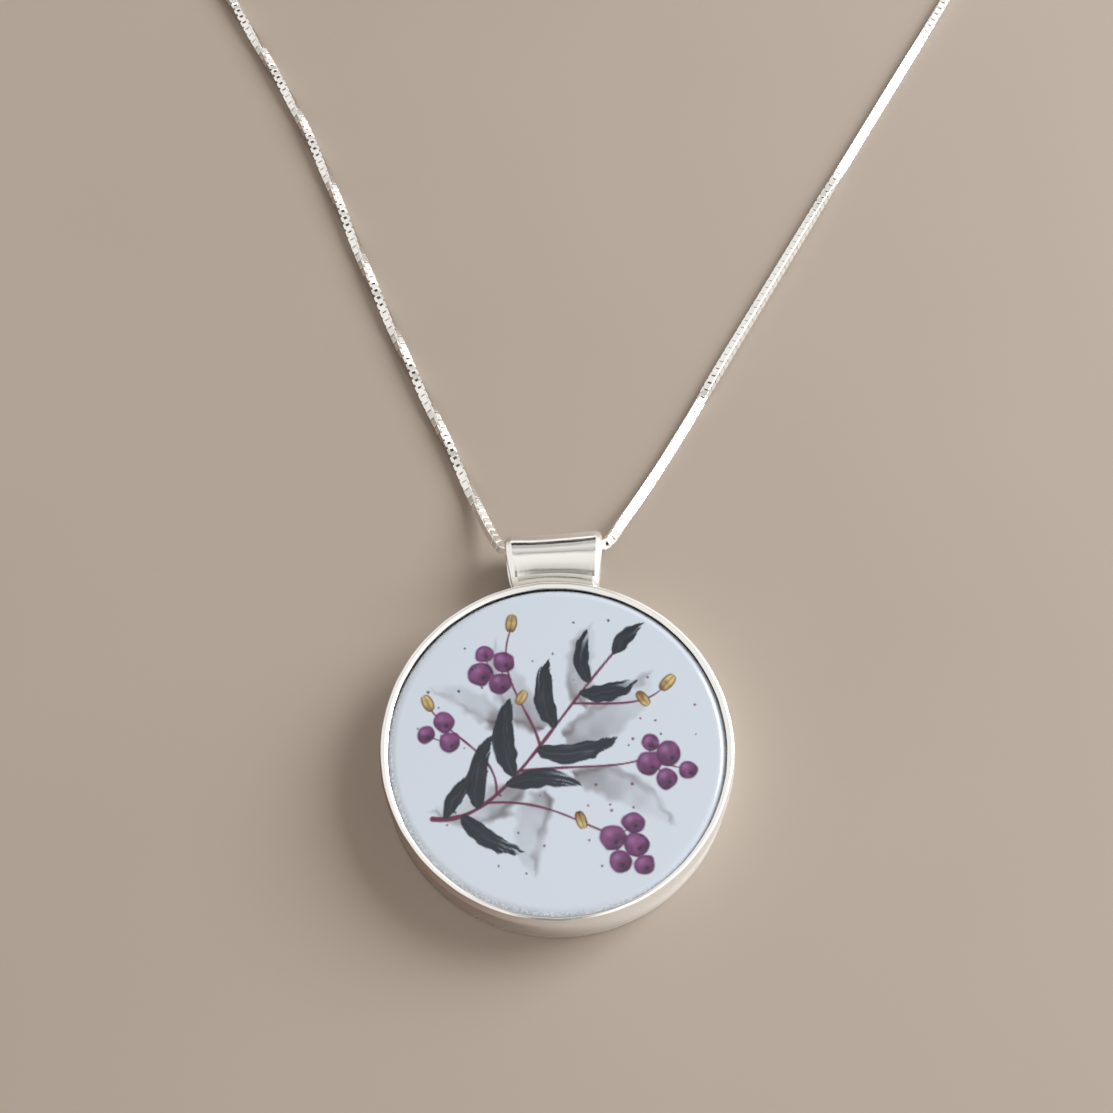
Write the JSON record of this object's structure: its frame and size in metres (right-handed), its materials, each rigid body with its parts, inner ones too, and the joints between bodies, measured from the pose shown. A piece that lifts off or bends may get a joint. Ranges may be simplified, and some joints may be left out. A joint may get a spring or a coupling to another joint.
{
  "type": "pendant necklace",
  "caption": "Round glazed ceramic disc in a silver bezel with a wide bail, on a fine box chain with a lobster clasp.",
  "frame": {"origin": "centre of the bezel's flat back", "axes": "+Z out of the disc's face, +Y from the disc's centre towards the bail, +X to the right"},
  "size_m": [0.0747, 0.1083, 0.0051],
  "materials": {
    "polished_silver": "polished",
    "brushed_silver": "satin",
    "glaze": "gloss"
  },
  "bodies": {
    "necklace": {"back_plate": "brushed_silver", "bezel_wall": "polished_silver", "ceramic_disc": "glaze", "bail": "polished_silver", "chain_strand": "polished_silver", "chain_tail": "polished_silver", "chain_coil": "polished_silver", "clasp_end_cap": "polished_silver", "jump_ring": "polished_silver", "clasp_body": "polished_silver", "clasp_pin": "polished_silver", "clasp_spring": "brushed_silver", "end_ring": "polished_silver", "ring_end_cap": "polished_silver"},
    "lever": {"clasp_lever": "polished_silver"}
  },
  "joints": [
    {"name": "lever_turn", "type": "hinge", "parent": "necklace", "child": "lever", "pos_m": [0.0213, 0.08705, 0.0015], "axis": [0, 0, -1], "range_deg": [0, 25], "stiffness_Nm_per_rad": 0.001, "springref_deg": -14.32, "deforming": ["clasp_spring"]}
  ]
}
